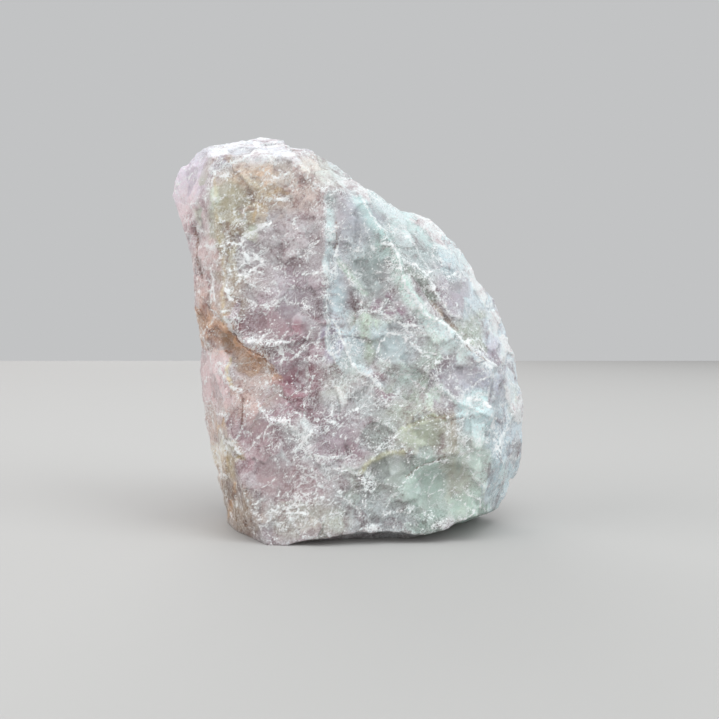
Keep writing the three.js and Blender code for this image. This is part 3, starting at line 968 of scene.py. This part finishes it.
# The skin's noises: how many across a metre, layers, roughness, distortion.
CLOUD = (130, 7, 0.68, 0.6)  # light and dark inside the milky stone
FINE = (1900, 5, 0.85, 0.5)  # its fibrous grain
FEATHER = (800, 7, 0.82, 1.0)  # crumpled frost
WEAVE = (330, 10, 0.72, 0.7)  # the threads follow its middle value
TORN = (260, 5, 0.65, 0.0)  # where the threads break off
DOTS = 700  # how many painted glints fit across a metre
BRIGHTEST_DOTS = 0.64  # the random number above which a dot is a painted glint

CLOUD_SHADE = (190, 168, 171)
PIT_SHADE = (166, 144, 146)
STAIN = (180, 150, 134)
# painted shade: the colour that darkens the skin in its hollows
PAINTED_HOLLOW_SHADE = (170, 150, 150)
FROST_WHITE = (252, 254, 254)
WHITEST = 0.96

ROUGHNESS = (0.28, 0.6)  # of the glassy stone and of the frost
QUARTZ_IOR = 1.54
GLOW = 0.2  # how much light scatters under the surface
GLOW_RADIUS = (1.0, 0.75, 0.75)
GLOW_SCALE = 0.0015
BUMP = 0.6
BUMP_DISTANCE = 0.0007


def rgba(colour):
    return (*[float(c) for c in linear(colour)], 1.0)


def grained(g, place):
    """The place, stretched along the stone's splitting."""
    made = g.node("ShaderNodeMapping", vector_type="TEXTURE")
    turn = (0.0, -GRAIN_RISE, 0.0)
    g.fill(made, {"Vector": place, "Rotation": turn, "Scale": (GRAIN_STRETCH, 1.0, 1.0)})
    return made.outputs["Vector"]


def milk(g, place, fine, calm):
    """Cloudy light and dark inside the milky stone, with its fibrous grain."""
    cloud = g.noise(place, *CLOUD)
    busy = g.span(calm, 0.0, 1.0, 1.0, 0.25)
    deep = g.times(g.span(cloud, 0.36, 0.52, 0.9, 0.0), busy)
    colour = g.mix(deep, g.attribute("zone", "Color"), rgba(CLOUD_SHADE), "MULTIPLY")
    colour = g.mix(g.span(cloud, 0.54, 0.66, 0.0, 0.26), colour, rgba(SNOW))
    pits = g.times(g.span(fine, 0.36, 0.5, 0.85, 0.0), busy)
    colour = g.mix(pits, colour, rgba(PIT_SHADE), "MULTIPLY")
    dust = g.times(g.span(fine, 0.52, 0.64, 0.0, 0.45), busy)
    return g.mix(dust, colour, rgba(SNOW))


def stained(g, colour, crinkle):
    """Hairline cracks, stained brown."""
    stain = g.plus(g.attribute("crack"), g.times(crinkle, 2.0))
    return g.mix(g.span(stain, 0.45, 0.65, 0.0, 0.9), colour, rgba(STAIN), "MULTIPLY")


def frost_flakes(g, feather, thick):
    """Crumpled white flakes, in patches."""
    level = g.math("SUBTRACT", 0.7, g.times(thick, 0.175))
    return g.span(g.math("SUBTRACT", feather, level), 0.0, 0.03)


def frost_threads(g, place, split, thick, calm):
    """Crinkled white lines, thicker and closer where the frost is."""
    weave = g.noise(split, *WEAVE)
    apart = g.math("ABSOLUTE", g.math("SUBTRACT", weave, 0.5))
    half = g.plus(g.times(thick, 0.018), 0.015)
    threads = g.span(apart, g.times(half, 0.4), half, 1.0, 0.0)
    torn = g.plus(g.noise(place, *TORN), g.times(thick, 0.16))
    threads = g.times(threads, g.span(torn, 0.46, 0.6, 0.3, 1.0))
    return g.times(threads, g.span(calm, 0.0, 1.0, 1.0, 0.6))


def painted_glints(g, place):
    """Tiny bright points: painted glints of light in the base colour."""
    dots = g.node("ShaderNodeTexVoronoi", feature="F1")
    g.fill(dots, {"Vector": place, "Scale": DOTS})
    near = g.span(dots.outputs["Distance"], 0.14, 0.26, 1.0, 0.0)
    chosen = g.math("GREATER_THAN", dots.outputs["Color"], BRIGHTEST_DOTS)
    return g.times(g.times(near, chosen), 0.8)


def strokes(g, fine, crinkle):
    """The drawn veins, crinkled and grainy."""
    stroke = g.plus(g.attribute("vein"), g.times(crinkle, 2.6))
    stroke = g.span(stroke, 0.52, 0.66)
    return g.times(stroke, g.span(fine, 0.38, 0.54, 0.35, 1.0))


def rims(g, crinkle, thick):
    """The frosted edges of plates and scars."""
    rim = g.plus(g.attribute("crest"), g.times(crinkle, 3.0))
    rim = g.plus(rim, g.times(thick, 0.15))
    return g.span(rim, 0.8, 1.0, 0.0, 0.85)


def rose_quartz_material():
    g = Graph("rose_quartz_skin")
    place = g.node("ShaderNodeTexCoord").outputs["Object"]
    split = grained(g, place)
    fine = g.noise(split, *FINE)
    feather = g.noise(split, *FEATHER)
    crinkle = g.math("SUBTRACT", feather, 0.5)
    calm = g.attribute("calm")
    clear = g.span(calm, 0.0, 1.0, 1.0, 0.3)
    thick = g.times(g.attribute("frost"), clear)

    # the white mixed into the colour: frost, veins, threads and frosted edges, with the painted
    # glints
    white = g.math("MAXIMUM", frost_flakes(g, feather, thick), strokes(g, fine, crinkle))
    white = g.math("MAXIMUM", white, frost_threads(g, place, split, thick, calm))
    white = g.math("MAXIMUM", white, rims(g, crinkle, thick))
    white = g.math("MAXIMUM", white, painted_glints(g, place), clamp=True)
    colour = stained(g, milk(g, place, fine, calm), crinkle)
    colour = g.mix(g.times(white, WHITEST), colour, rgba(FROST_WHITE))
    # painted shade, darker in the hollows of the relief
    shade = g.span(g.attribute("hollow"), 0.15, 0.5, 0.4, 0.0)
    colour = g.mix(shade, colour, rgba(PAINTED_HOLLOW_SHADE), "MULTIPLY")

    bump = g.node("ShaderNodeBump")
    height = g.times(g.plus(g.plus(fine, white), feather), 0.5)
    g.fill(bump, {"Strength": BUMP, "Distance": BUMP_DISTANCE, "Height": height})
    g.fill(g.shader, {
        "Base Color": colour,
        "Roughness": g.span(white, 0.0, 1.0, *ROUGHNESS),
        "IOR": QUARTZ_IOR,
        "Subsurface Weight": GLOW,
        "Subsurface Radius": GLOW_RADIUS,
        "Subsurface Scale": GLOW_SCALE,
        "Normal": bump.outputs["Normal"],
    })
    return g.material


FLOOR_COLOUR = (0.43, 0.42, 0.41, 1)
FLOOR_ROUGHNESS = 0.8


def floor_material():
    g = Graph("studio_floor")
    g.fill(g.shader, {"Base Color": FLOOR_COLOUR, "Roughness": FLOOR_ROUGHNESS})
    return g.material


# ---- The studio ----

FLOOR_HALF = 2.4  # half the floor's side, in metres
TARGET = (0, 0, 0.07)  # the middle of the stone
LIGHTS = [
    # name, place, side in metres, watts, colour
    ("sky_panel", (0.4, -0.9, 2.8), 2.3, 52, (0.93, 0.98, 1.0)),
    ("right_panel", (2.3, -1.3, 1.8), 1.8, 34, (0.9, 0.98, 1.0)),
    ("front_fill", (-0.8, -2.9, 1.2), 2.4, 14, (1.0, 0.98, 0.96)),
    ("left_fill", (-2.5, -0.8, 1.3), 2.0, 32, (1.0, 0.96, 0.95)),
    ("back_fill", (-0.8, 2.5, 1.5), 2.4, 26, (1.0, 1.0, 1.0)),
]
WORLD_COLOUR = (0.9, 0.91, 0.92, 1)
WORLD_STRENGTH = 0.6


def build_studio():
    corners = [(-1, -1), (1, -1), (1, 1), (-1, 1)]
    mesh = bpy.data.meshes.new("studio_floor")
    places = [(x * FLOOR_HALF, y * FLOOR_HALF, 0) for x, y in corners]
    mesh.from_pydata(places, [], [(0, 1, 2, 3)])
    mesh.materials.append(floor_material())
    placed("studio_floor", mesh)

    for name, place, side, watts, colour in LIGHTS:
        data = bpy.data.lights.new(name, "AREA")
        data.shape = "SQUARE"
        data.size = side
        data.energy = watts
        data.color = colour
        lamp = placed(name, data)
        lamp.location = place
        aim = Vector(TARGET) - Vector(place)
        lamp.rotation_euler = aim.to_track_quat("-Z", "Y").to_euler()

    world = bpy.data.worlds.new("studio_world")
    world.use_nodes = True
    background = world.node_tree.nodes["Background"]
    background.inputs["Color"].default_value = WORLD_COLOUR
    background.inputs["Strength"].default_value = WORLD_STRENGTH
    bpy.context.scene.world = world


def build_camera():
    data = bpy.data.cameras.new("camera")
    data.lens = FOCAL
    data.sensor_width = SENSOR
    data.shift_y = RISE
    data.clip_start = NEAREST
    data.clip_end = FARTHEST
    camera = placed("camera", data)
    camera.location = Vector(EYE) * MM
    camera.rotation_euler = (math.pi / 2, 0, 0)
    bpy.context.scene.camera = camera


stone = build_stone()
stone.data.materials.append(rose_quartz_material())
build_studio()
build_camera()
bpy.context.scene.view_settings.view_transform = "Standard"
